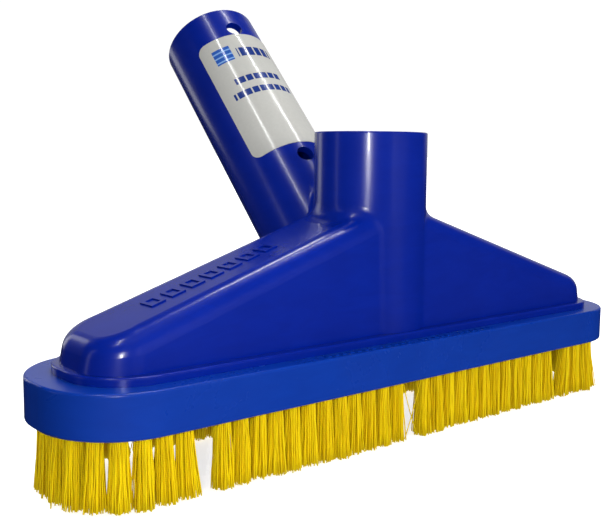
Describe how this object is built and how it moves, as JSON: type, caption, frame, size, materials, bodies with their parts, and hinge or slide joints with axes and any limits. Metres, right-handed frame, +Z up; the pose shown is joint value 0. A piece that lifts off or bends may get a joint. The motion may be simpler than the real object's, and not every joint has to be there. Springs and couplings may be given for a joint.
{
  "type": "pool vacuum brush head",
  "caption": "Long pool sweeper head: hollow moulded hood with an upright hose port and a leaning pole socket, screwed to a round-ended brush base edged with stiff bristle tufts.",
  "frame": {"origin": "on the surface under the bristle tips, straight below the hose port's axis", "axes": "+X along the brush, +Y horizontally towards the pole, +Z up the hose port"},
  "size_m": [0.242, 0.1375, 0.152],
  "materials": {
    "hood_plastic": "glossy moulded plastic",
    "base_plastic": "satin moulded plastic",
    "bristle": "stiff drawn filament",
    "label_film": "printed film with a gloss coat",
    "steel": "stainless"
  },
  "bodies": {
    "root": {"hood": "hood_plastic", "label": "label_film", "brush_base": "base_plastic", "base_screws": "steel", "tufts_front_left_1": "bristle", "tufts_front_left_2": "bristle", "tufts_front_left_3": "bristle", "tufts_rear_left_1": "bristle", "tufts_rear_left_2": "bristle", "tufts_rear_left_3": "bristle", "tufts_left_end_1": "bristle", "tufts_left_end_2": "bristle", "tufts_left_end_3": "bristle", "tufts_front_right_1": "bristle", "tufts_front_right_2": "bristle", "tufts_front_right_3": "bristle", "tufts_rear_right_1": "bristle", "tufts_rear_right_2": "bristle", "tufts_rear_right_3": "bristle", "tufts_right_end_1": "bristle", "tufts_right_end_2": "bristle", "tufts_right_end_3": "bristle", "staples_front": "steel", "staples_rear": "steel", "staples_left_end": "steel", "staples_right_end": "steel"}
  },
  "joints": []
}
